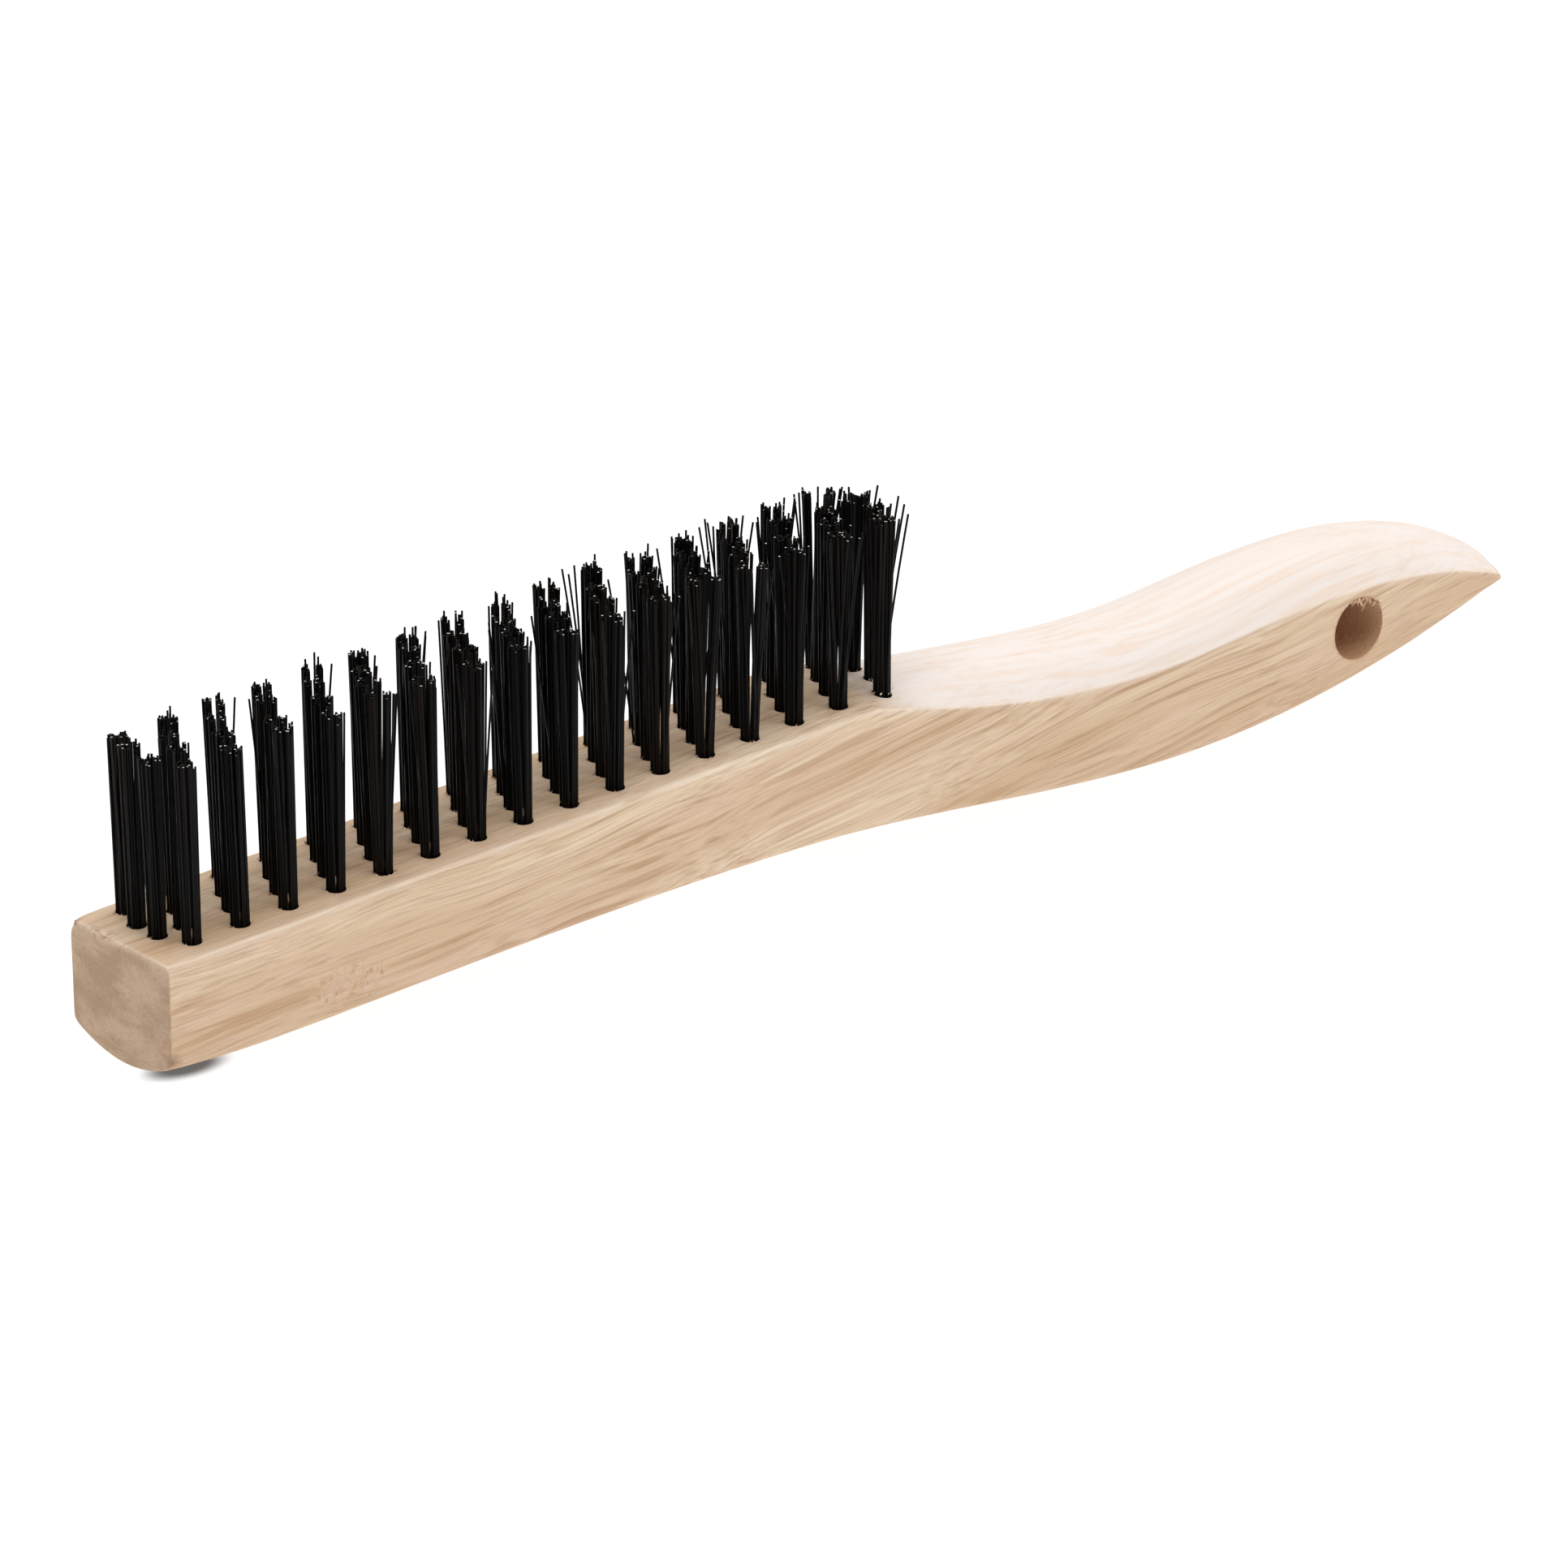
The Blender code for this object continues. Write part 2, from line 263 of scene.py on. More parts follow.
@dataclass(frozen=True)
class BenchPose:
    """How the brush's own frame stands in the row frame: turned about y, then moved."""

    tilt: float
    origin: tuple[float, float, float]

    @classmethod
    def from_record(cls, record: dict[str, Any], end_depth: float) -> "BenchPose":
        """Pose that carries the plain end onto its mount.

        Args:
            record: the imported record.
            end_depth: how far below the face the mount lies on the plain end.

        Returns:
            The pose.
        """
        mount = next(m for m in record["mounts"] if m["name"] == "plain_end")
        axis, place = mount["axis"], mount["pos_m"]
        tilt = math.atan2(axis[2], -axis[0])
        x = place[0] + end_depth * math.sin(tilt)
        z = place[2] + end_depth * math.cos(tilt)
        return cls(tilt, (x, place[1], z))

    def turn(self) -> Array:
        """The 3x3 matrix of the turn."""
        c, s = math.cos(self.tilt), math.sin(self.tilt)
        return np.array(((c, 0.0, s), (0.0, 1.0, 0.0), (-s, 0.0, c)))

    def to_row(self, points: Array) -> Array:
        """Brush-frame points in the row frame."""
        return points @ self.turn().T + np.array(self.origin)

    def to_brush(self, points: Array) -> Array:
        """Row-frame points in the brush's frame."""
        return (points - np.array(self.origin)) @ self.turn()


def capped_tubes(name: str, points: Array, pose: BenchPose) -> bpy.types.Mesh:
    """Closed tubes with a flat lid at each end, their walls numbered before their lids.

    Args:
        name: the mesh's name.
        points: (tubes, rings, points per ring, 3) places in the brush's frame.
        pose: how the brush stands.

    Returns:
        The mesh in the row frame.
    """
    tubes, rings, count, _ = points.shape
    start = (np.arange(tubes) * rings * count)[:, None]
    walls = (ring_faces(rings, count)[None] + start[..., None]).reshape(-1)
    low = start + np.arange(count)[::-1]
    high = start + (rings - 1) * count + np.arange(count)
    lids = np.concatenate((low, high), axis=1).reshape(-1)
    sizes = np.concatenate((np.full(tubes * (rings - 1) * count, 4), np.full(2 * tubes, count)))
    return make_mesh(name, pose.to_row(points.reshape(-1, 3)), np.concatenate((walls, lids)), sizes)


# ---------------------------------------------------------------- shader maths


class Value:
    """A number socket. Arithmetic on it adds Math nodes."""

    def __init__(self, graph: "Graph", socket: Any) -> None:
        """Wraps a socket of a graph."""
        self.graph = graph
        self.socket = socket

    def _math(self, operation: str, *values: Any, clamp: bool = False) -> "Value":
        """A Math node on these values."""
        return self.graph.node("ShaderNodeMath", {"operation": operation, "use_clamp": clamp}, values)

    def __add__(self, other: Any) -> "Value":
        """self + other"""
        return self._math("ADD", self, other)

    def __sub__(self, other: Any) -> "Value":
        """self - other"""
        return self._math("SUBTRACT", self, other)

    def __rsub__(self, other: Any) -> "Value":
        """other - self"""
        return self._math("SUBTRACT", other, self)

    def __mul__(self, other: Any) -> "Value":
        """self * other"""
        return self._math("MULTIPLY", self, other)

    def ramp(self, low: float, high: float, to_low: float = 0.0, to_high: float = 1.0) -> "Value":
        """Smooth step of the value from low to high, given as to_low to to_high."""
        settings = {"interpolation_type": "SMOOTHSTEP"}
        return self.graph.node("ShaderNodeMapRange", settings, (self, low, high, to_low, to_high))

    def soft_max(self, other: float, width: float) -> "Value":
        """The larger of the value and another, rounded where they meet."""
        return self._math("SMOOTH_MAX", self, other, width)

    def clamped(self) -> "Value":
        """The value kept within 0 and 1."""
        return self._math("ADD", self, 0.0, clamp=True)


class Graph:
    """Node graph of one material, written as expressions."""

    def __init__(self, name: str) -> None:
        """Starts a material with a Principled shader and nothing else."""
        self.material = bpy.data.materials.new(name)
        self.material.use_nodes = True
        self.tree = self.material.node_tree
        self.shader = self.tree.nodes["Principled BSDF"]

    def node(self, kind: str, settings: dict[str, Any], inputs: Any, output: int | str = 0) -> Value:
        """Adds a node.

        Args:
            kind: Blender's node type.
            settings: properties, set before the sockets.
            inputs: values or links, in order or by socket name.
            output: which output to return.

        Returns:
            That output.
        """
        made = self.tree.nodes.new(kind)
        for key, value in settings.items():
            setattr(made, key, value)
        pairs = inputs.items() if isinstance(inputs, dict) else enumerate(inputs)
        for key, value in pairs:
            self.plug(made.inputs[key], value)
        return Value(self, made.outputs[output])

    def plug(self, socket: Any, value: Any) -> None:
        """Links a value to a socket, or sets the socket's own number."""
        if isinstance(value, Value):
            self.tree.links.new(value.socket, socket)
        else:
            socket.default_value = value

    def place(self) -> Value:
        """Object coordinates."""
        return self.node("ShaderNodeTexCoord", {}, (), "Object")

    def axis(self, place: Value, name: str) -> Value:
        """One coordinate of a place."""
        return self.node("ShaderNodeSeparateXYZ", {}, (place,), name)

    def attribute(self, name: str) -> Value:
        """A number stored on the mesh."""
        return self.node("ShaderNodeAttribute", {"attribute_name": name}, (), "Fac")

    def turned(self, place: Value, origin: tuple[float, ...], angles: tuple[float, ...]) -> Value:
        """Places measured from an origin along turned axes."""
        settings = {"vector_type": "TEXTURE"}
        values = {"Vector": place, "Location": origin, "Rotation": angles}
        return self.node("ShaderNodeMapping", settings, values)

    def stretched(self, place: Value, scale: tuple[float, float, float]) -> Value:
        """Places times a scale on each axis."""
        return self.node("ShaderNodeVectorMath", {"operation": "MULTIPLY"}, (place, scale))

    def shifted(self, place: Value, by: Value) -> Value:
        """Places plus another vector."""
        return self.node("ShaderNodeVectorMath", {"operation": "ADD"}, (place, by))

    def noise(
        self, place: Value, scale: tuple[float, ...], detail: float, rough: float, output: str = "Fac"
    ) -> Value:
        """Fractal noise of unit size at places times a scale on each axis."""
        values = {"Vector": self.stretched(place, scale), "Scale": 1.0, "Detail": detail, "Roughness": rough}
        return self.node("ShaderNodeTexNoise", {}, values, output)

    def mix(self, share: Any, low: Any, high: Any) -> Value:
        """Colour that goes from low to high with share."""
        made = self.tree.nodes.new("ShaderNodeMix")
        made.data_type = "RGBA"
        for socket, value in zip((made.inputs[0], made.inputs[6], made.inputs[7]), (share, low, high)):
            self.plug(socket, value if isinstance(value, (Value, float)) else (*value, 1.0))
        return Value(self, made.outputs[2])

    def bump(self, height: Value, distance: float) -> None:
        """Feeds the shader's normal from a height."""
        values = {"Height": height, "Distance": distance, "Strength": 1.0}
        self.plug(self.shader.inputs["Normal"], self.node("ShaderNodeBump", {}, values, "Normal"))

    def finish(self, **sockets: Any) -> bpy.types.Material:
        """Sets the shader's sockets, named with underscores for spaces, and returns the material."""
        for key, value in sockets.items():
            self.plug(self.shader.inputs[key.replace("_", " ")], value)
        return self.material


# ---------------------------------------------------------------- finishes

Colour = tuple[float, float, float]


@dataclass(frozen=True)
class HardwoodFinish:
    """Bare hardwood, fine sawn: long fibres, pores, streaks, a torn patch, sawn end grain, and a paler handle
    top and top edges, partly from sanding and wear and partly painted highlight.
    """

    pale: Colour = (0.86, 0.695, 0.51)
    warm: Colour = (0.67, 0.465, 0.295)
    pink: Colour = (0.77, 0.56, 0.41)
    streak: Colour = (0.43, 0.225, 0.105)
    # Handle top colour: partly the pale of sanding, partly a painted highlight of the top light.
    sanded_and_highlight: Colour = (0.815, 0.745, 0.70)
    end_pale: Colour = (0.62, 0.445, 0.305)
    end_dark: Colour = (0.49, 0.325, 0.215)
    torn_orange: Colour = (0.67, 0.43, 0.26)
    crack: Colour = (0.40, 0.22, 0.11)
    drilled: Colour = (0.58, 0.33, 0.18)
    # Top edge colour: partly rubbed wood, partly a painted highlight along the rounded edge.
    fuzz_and_highlight: Colour = (0.90, 0.775, 0.66)
    bruise: Colour = (0.20, 0.10, 0.045)
    straight_to: float = 78 * MM
    grain_rise: float = math.tan(math.radians(5.5))

    def material(self, pose: BenchPose) -> bpy.types.Material:
        """Builds the material.

        Args:
            pose: how the brush stands, so that the grain runs along it.

        Returns:
            The material.
        """
        g = Graph("bare_hardwood")
        place = g.turned(g.place(), pose.origin, (0.0, pose.tilt, 0.0))
        x, y, z = (g.axis(place, name) for name in "XYZ")
        z = z - (x - self.straight_to).soft_max(0.0, 0.06) * self.grain_rise
        place = g.node("ShaderNodeCombineXYZ", {}, (x, y, z), "Vector")
        wander = g.noise(place, (13.0, 45.0, 45.0), 2.0, 0.5, "Color")
        sway = g.node("ShaderNodeVectorMath", {"operation": "SUBTRACT"}, (wander, (0.5, 0.5, 0.5)))
        place = g.shifted(place, g.stretched(sway, (0.0, 0.009, 0.009)))

        broad = g.noise(place, (5.0, 110.0, 110.0), 1.0, 0.5)
        bands = g.noise(place, (9.0, 420.0, 420.0), 2.0, 0.55)
        stripes = g.noise(place, (10.0, 1150.0, 1150.0), 2.0, 0.6)
        fibres = g.noise(place, (32.0, 2500.0, 2500.0), 3.0, 0.65)
        dashes = g.noise(place, (60.0, 3000.0, 3000.0), 2.0, 0.5)
        patches = g.noise(place, (30.0, 120.0, 120.0), 2.0, 0.5)
        pores = dashes.ramp(0.50, 0.72)
        dark_lines = stripes.ramp(0.48, 0.68) * patches.ramp(0.36, 0.60)

        colour = g.mix(broad.ramp(0.35, 0.65), self.pale, self.warm)
        colour = g.mix(bands.ramp(0.40, 0.62, 0.0, 0.8), colour, self.pink)
        colour = g.mix(fibres.ramp(0.32, 0.66, 0.0, 0.62), colour, self.warm)
        colour = g.mix(dark_lines * 0.52, colour, self.streak)
        colour = g.mix(pores * 0.30, colour, self.streak)

        # Handle top mask: paler by sanding and by a painted highlight.
        sanded_and_highlight = g.attribute("sanded_and_highlight")
        grain_cut = g.noise(place, (24.0, 900.0, 240.0), 3.0, 0.6)
        soft = g.mix(grain_cut.ramp(0.42, 0.72, 0.0, 0.42), self.sanded_and_highlight, self.pink)
        soft = g.mix(stripes.ramp(0.50, 0.70, 0.0, 0.14), soft, self.warm)
        colour = g.mix((sanded_and_highlight * patches.ramp(0.2, 0.75, 1.0, 0.90)).clamped(), colour, soft)
        # Top edges paler: rubbed wood plus a painted highlight along the rounding.
        colour = g.mix(g.attribute("worn_edge_and_highlight") * 0.5, colour, self.fuzz_and_highlight)

        speckle = g.noise(place, (900.0, 1700.0, 1700.0), 3.0, 0.75)
        mottle = g.noise(place, (200.0, 110.0, 200.0), 3.0, 0.6)
        smear = g.noise(place, (200.0, 130.0, 800.0), 2.0, 0.6)
        end = g.mix(mottle.ramp(0.36, 0.64), self.end_pale, self.end_dark)
        end = g.mix(smear.ramp(0.54, 0.70, 0.0, 0.30), end, self.streak)
        end = g.mix(speckle.ramp(0.50, 0.68, 0.0, 0.38), end, self.streak)
        colour = g.mix(g.attribute("end_grain"), colour, end)

        torn = g.attribute("torn")
        crumbs = g.noise(place, (700.0, 700.0, 800.0), 3.0, 0.65)
        cracks = g.noise(place, (1000.0, 700.0, 900.0), 3.0, 0.6)
        scar = g.mix(crumbs.ramp(0.42, 0.68), self.pink, self.torn_orange)
        scar = g.mix(cracks.ramp(0.58, 0.68, 0.0, 0.75), scar, self.crack)
        colour = g.mix((torn * crumbs.ramp(0.35, 0.60, 0.5, 0.9)).clamped(), colour, scar)
        drilled = g.mix(fibres.ramp(0.35, 0.65, 0.0, 0.5), self.drilled, self.streak)
        colour = g.mix(g.attribute("drilled"), colour, drilled)
        colour = g.mix(g.attribute("bruise"), colour, self.bruise)

        relief = (fibres * 0.6 - pores * 0.6) * (1 - sanded_and_highlight * 0.85) + speckle * g.attribute("end_grain") * 0.5
        g.bump(relief + (crumbs - cracks.ramp(0.5, 0.64)) * torn, 0.00010)
        rough = fibres.ramp(0.3, 0.7, 0.60, 0.74)
        return g.finish(Base_Color=colour, Roughness=rough, Specular_IOR_Level=0.25)


@dataclass(frozen=True)
class TuftWireFinish:
    """Black oil-tempered wire with a satin oxide skin and bright sheared ends."""

    oxide: Colour = (0.0036, 0.0034, 0.0033)
    brown: Colour = (0.0100, 0.0056, 0.0037)
    sheared: Colour = (0.72, 0.69, 0.64)

    def material(self) -> bpy.types.Material:
        """Builds the material."""
        g = Graph("oil_tempered_wire")
        place = g.place()
        tint = g.noise(place, (260.0, 260.0, 12.0), 2.0, 0.6)
        scale = g.noise(place, (1800.0, 1800.0, 300.0), 2.0, 0.6)
        skin = g.mix(tint.ramp(0.45, 0.68, 0.0, 0.8), self.oxide, self.brown)
        bright = g.attribute("sheared")
        colour = g.mix(bright, skin, self.sheared)
        g.bump(scale, 0.00002)
        return g.finish(
            Base_Color=colour,
            Metallic=bright * 0.9,
            Roughness=scale.ramp(0.3, 0.7, 0.40, 0.56),
            Specular_IOR_Level=0.11,
        )


@dataclass(frozen=True)
class AnchorFinish:
    """Drawn flat wire: grey steel with fine draw marks."""

    steel: Colour = (0.45, 0.44, 0.42)
    dull: Colour = (0.27, 0.26, 0.25)

    def material(self) -> bpy.types.Material:
        """Builds the material."""
        g = Graph("flat_anchor_wire")
        draw = g.noise(g.place(), (300.0, 300.0, 5000.0), 2.0, 0.6)
        g.bump(draw, 0.00001)
        colour = g.mix(draw.ramp(0.35, 0.7), self.steel, self.dull)
        return g.finish(Base_Color=colour, Metallic=0.95, Roughness=draw.ramp(0.3, 0.7, 0.32, 0.5))


@dataclass(frozen=True)
class SplinterFinish:
    """Torn hardwood fibre: pale fibre that darkens towards orange brown."""

    name: str
    pale: Colour = (0.84, 0.70, 0.53)
    brown: Colour = (0.50, 0.30, 0.17)

    def material(self) -> bpy.types.Material:
        """Builds the material."""
        g = Graph(self.name)
        shade = g.noise(g.place(), (900.0, 900.0, 900.0), 2.0, 0.6)
        colour = g.mix(shade.ramp(0.45, 0.65), self.pale, self.brown)
        g.bump(g.noise(g.place(), (4000.0, 4000.0, 4000.0), 2.0, 0.6), 0.00004)
        return g.finish(Base_Color=colour, Roughness=shade.ramp(0.3, 0.7, 0.65, 0.8), Specular_IOR_Level=0.25)


@dataclass(frozen=True)
class BenchFinish:
    """Plain bench that is white mostly by its own glow, with a painted contact shadow where the brush rests.
    """

    white: Colour = (0.16, 0.16, 0.16)
    lit: Colour = (0.92, 0.92, 0.92)
    # Colour of the painted contact shadow, in both base and glow; reach is the size of its ellipse.
    painted_contact_shadow: Colour = (0.04, 0.035, 0.03)
    reach: tuple[float, float, float] = (9 * MM, 4.4 * MM, 10 * MM)

    def material(self, shadow_spot: tuple[float, float, float]) -> bpy.types.Material:
        """Builds the material, with a painted contact shadow: darker in a small ellipse where the brush's
        plain end rests on the bench.

        Args:
            shadow_spot: the centre of the painted contact shadow.

        Returns:
            The material.
        """
        g = Graph("pale_bench")
        off = g.shifted(g.place(), tuple(-value for value in shadow_spot))
        off = g.stretched(off, tuple(1 / value for value in self.reach))
        distance = g.node("ShaderNodeVectorMath", {"operation": "LENGTH"}, (off,), "Value")
        # Share of the painted contact shadow at each place: most at its middle, none past its ellipse.
        near = distance.ramp(0.45, 1.0, 0.9, 0.0)
        return g.finish(
            Base_Color=g.mix(near, self.white, self.painted_contact_shadow),
            Roughness=0.9,
            Emission_Color=g.mix(near, self.lit, self.painted_contact_shadow),
            Emission_Strength=1.0,
        )


# ---------------------------------------------------------------- wood


@dataclass
class WoodBlock:
    """One length of hardwood: tufted block, neck, crowned hand grip and thin rounded tip."""

    pose: BenchPose
    width: float = 22.2 * MM
    neck_start: float = 130.5 * MM
    crest: float = 219.4 * MM
    tip: float = 257.8 * MM
    tip_bulge: float = 3.4 * MM
    back_crown: float = 2.9 * MM
    grip_crown: float = 5.4 * MM
    grip_squareness: float = 2.4
    top_edge: Knots = (
        (130.5 * MM, 0.0, -0.33),
        (189.9 * MM, -10.5 * MM, 0.0),
        (219.4 * MM, -9.3 * MM, 0.0),
        (257.8 * MM, -15.3 * MM, -0.40),
    )
    ridge: Knots = ((130.5 * MM, 0.0, 0.0), (189.9 * MM, -5.1 * MM, 0.0), (219.4 * MM, -3.9 * MM, 0.0))
    back_edge: Knots = (
        (0.0, -15.4 * MM, -0.1),
        (20.0 * MM, -16.4 * MM, 0.0),
        (118.9 * MM, -17.6 * MM, -0.06),
        (196.9 * MM, -25.6 * MM, 0.0),
        (257.8 * MM, -16.3 * MM, 0.30),
    )
    upper_round: float = 0.75 * MM
    crease_round: float = 0.28 * MM
    lower_round: float = 1.0 * MM
    end_round: float = 0.45 * MM
    tip_round: float = 0.45 * MM
    crease: tuple[float, float] = (128 * MM, 136 * MM)
    top_points: int = 43
    side_points: int = 22
    corner_points: int = 7
    end_rings: int = 6
    cap_rings: int = 26
    tip_rings: int = 5
    hang_hole: tuple[float, float] = (227.8 * MM, -15.5 * MM)
    hang_hole_radius: float = 5.0 * MM
    hang_hole_sides: int = 72
    tuft_hole_radius: float = 1.48 * MM
    tuft_hole_depth: float = 10.0 * MM
    tuft_hole_sides: int = 18
    drill_start: float = 3 * MM
    torn_centre: tuple[float, float] = (31.6 * MM, -12.3 * MM)
    notch: tuple[float, float] = (0.5 * MM, -14.6 * MM)
    nick: tuple[float, float] = (150.4 * MM, -4.1 * MM)

    def taper(self, x: Array) -> Array:
        """Share of a crown left at x: a quarter ellipse from the crest to the tip."""
        return np.sqrt(1 - np.clip((x - self.crest) / (self.tip - self.crest), 0.0, 1.0) ** 2)

    def top(self, x: Array, y: Array) -> Array:
        """Height of the upper surface: its edge plus a crown times 1 - |2y / width| to the squareness."""
        edge = hermite(self.top_edge, x)
        crown = np.where(x > self.crest, self.grip_crown * self.taper(x), hermite(self.ridge, x) - edge)
        return edge + crown * (1 - np.abs(2 * y / self.width) ** self.grip_squareness)

    def back(self, x: Array, y: Array) -> Array:
        """Height of the lower surface: its edge less a parabolic crown across."""
        return hermite(self.back_edge, x) - self.back_crown * self.taper(x) * (1 - (2 * y / self.width) ** 2)

    def stations(self) -> Array:
        """Places of the sections along the brush, closest along the torn patch and at the tip."""
        return np.concatenate(
            (
                self.end_round + np.arange(0.0, 23.3 * MM, 0.55 * MM),
                np.arange(24.0 * MM, 41.0 * MM, 0.26 * MM),
                np.arange(41.2 * MM, self.crest, 0.62 * MM),
                self.crest + (self.tip - self.crest) * np.sin(np.linspace(0.0, math.pi / 2, 84)),
            )
        )

    def sections(self, x: Array) -> Array:
        """Closed cross-sections with rounded corners, each rounding a parabola through its square corner.

        Args:
            x: (sections, 1) places along the brush.

        Returns:
            (sections, points, 3) places, from the front upper edge over the top and round.
        """
        half = self.width / 2
        edge, low = hermite(self.top_edge, x), hermite(self.back_edge, x)
        most = 0.3 * (edge - low)
        before_crease = 1 - smooth(x, *self.crease)
        upper = self.crease_round + (self.upper_round - self.crease_round) * before_crease
        wear = LatticeNoise(5, (7 * MM, 1.0, 1.0))(np.stack((x, 0 * x, 0 * x), -1))
        upper = np.minimum(upper * (1 + 0.25 * wear), most)
        lower = np.minimum(self.lower_round + 0 * x, most)
        across = np.linspace(-1.0, 1.0, self.top_points)[None]
        t = np.linspace(0.0, 1.0, self.corner_points)[None, 1:-1]
        down = np.linspace(0.0, 1.0, self.side_points)[None]
        flip = np.array((-1.0, 1.0))

        def corner(*ends_and_middle: tuple[Array, Array]) -> Array:
            """Points (1-t)^2 first + 2t(1-t) middle + t^2 last, without the two ends."""
            y, z = ((1 - t) ** 2 * a + 2 * t * (1 - t) * b + t * t * c for a, b, c in zip(*ends_and_middle))
            return np.stack(np.broadcast_arrays(y, z), -1)

        top_y = across * (half - upper)
        back_y = -across * (half - lower)
        over = np.stack((top_y, self.top(x, top_y)), -1)
        under = np.stack((back_y, self.back(x, back_y)), -1)
        side_z = edge - upper + down * (low + lower - edge + upper)
        side = np.stack((half + 0 * side_z, side_z), -1)
        other = side[:, ::-1] * flip
        upper_end, lower_end = half - upper, half - lower
        top_end, back_end = self.top(x, upper_end), self.back(x, lower_end)
        first = corner((upper_end, top_end), (half + 0 * x, edge), (half + 0 * x, edge - upper))
        second = corner((half + 0 * x, low + lower), (half + 0 * x, low), (lower_end, back_end))
        yz = np.concatenate(
            (over, first, side, second, under, second[:, ::-1] * flip, other, first[:, ::-1] * flip), axis=1
        )
        bulge = self.tip_bulge * np.clip((x - self.crest) / (self.tip - self.crest), 0.0, 1.0) ** 2
        px = x + bulge * (1 - (2 * yz[..., 0] / self.width) ** 2)
        return np.concatenate((px[..., None], yz), axis=-1)

    def shell(self) -> tuple[Array, Array]:
        """The wood's surface as rings, with an outward direction at each point.

        The plain end is turned over in a quarter circle and closed by shrinking rings. At the tip the
        last section closes onto its mid line along a quarter circle.

        Returns:
            Places and directions, both (rings, points, 3).
        """
        body = self.sections(self.stations()[:, None])
        first, last = body[0], body[-1]
        middle = np.array((0.0, 0.0, (first[:, 2].max() + first[:, 2].min()) / 2))
        reach = np.array((1.0, 1 / (self.width / 2), 1 / (first[:, 2].max() - middle[2])))
        turn = np.linspace(0.0, math.pi / 2, self.end_rings + 1)[:-1, None, None]
        inset = self.end_round * (1 - np.sin(turn))
        rounding = middle + (first - middle) * (1 - inset * reach * (0, 1, 1))
        rounding[..., 0] = (self.end_round * (1 - np.cos(turn)))[..., 0]
        shrink = np.linspace(0.0, 1.0, self.cap_rings + 1)[:-1, None, None]
        cap = middle + (rounding[0] - middle) * shrink
        cap[..., 0] = 0.0
        close = np.linspace(0.0, math.pi / 2, self.tip_rings + 1)[1:, None, None]
        end, mid_line = np.array(self.tip), 0 * last[:, 1]
        seam = (self.top(end, mid_line) + self.back(end, mid_line)) / 2
        tip = last[None] + np.zeros((self.tip_rings, 1, 1))
        tip[..., 2] = seam + (last[:, 2] - seam) * np.cos(close[..., 0])
        tip[..., 0] += self.tip_round * np.sin(close[..., 0])
        points = np.concatenate((cap, rounding, body, tip))
        normals = grid_normals(points)
        normals[: len(cap)] = (-1.0, 0.0, 0.0)
        return points, normals

    def torn_mask(self, points: Array) -> Array:
        """1 inside the torn patch on the front side, ragged at its border."""
        ragged = LatticeNoise(11, (1.6 * MM, 9.0, 1.1 * MM))(points) * 0.35
        flat = points * (1.0, 0.0, 1.0)
        centre = (self.torn_centre[0], 0.0, self.torn_centre[1])
        border = ragged * bump_at(flat, centre, (10 * MM, 1.0, 4.5 * MM))
        inside = bump_at(flat, centre, (7.4 * MM, 1.0, 2.9 * MM)) + border
        return smooth(inside, 0.30, 0.66) * (points[..., 1] < 0.8 * MM - self.width / 2)

    def on_front(self, spot: tuple[float, float]) -> tuple[float, float, float]:
        """A spot of the front side, given by x and z, as a place."""
        return (spot[0], -self.width / 2, spot[1])

    def relief(self, points: Array) -> Array:
        """How far the surface stands in or out of its plain shape.

        Args:
            points: places on the plain shape.

        Returns:
            Distances, less than zero where wood is gone.
        """
        wave = 0.05 * MM * LatticeNoise(1, (26 * MM, 15 * MM, 15 * MM))(points)
        wave += 0.02 * MM * LatticeNoise(2, (7 * MM, 4 * MM, 4 * MM))(points)
        steps = np.abs(LatticeNoise(3, (1.0 * MM, 9.0, 0.8 * MM))(points + 0.3 * points[..., [2, 1, 0]]))
        chips = LatticeNoise(4, (0.7 * MM, 0.7 * MM, 0.9 * MM))(points)
        depth = self.torn_mask(points) * (0.03 + 0.13 * steps + 0.08 * chips) * MM
        for place, radii, deep, ragged in (
            ((0.0, self.width / 2, 0.0), (1.5 * MM, 1.5 * MM, 1.4 * MM), 0.45, 0.35),
            ((0.0, 4.4 * MM, 0.0), (0.9 * MM, 1.9 * MM, 0.9 * MM), 0.2, 0.35),
            (self.on_front(self.notch), (0.8 * MM, 0.8 * MM, 1.1 * MM), 0.75, 0.0),
            (self.on_front(self.nick), (0.7 * MM, 0.9 * MM, 0.6 * MM), 0.4, 0.0),
        ):
            depth += bump_at(points, place, radii) * (deep + ragged * chips) * MM
        saw = 0.03 * MM * LatticeNoise(6, (1.0, 0.9 * MM, 7 * MM))(points) * (points[..., 0] < 0.05 * MM)
        return wave + saw - depth

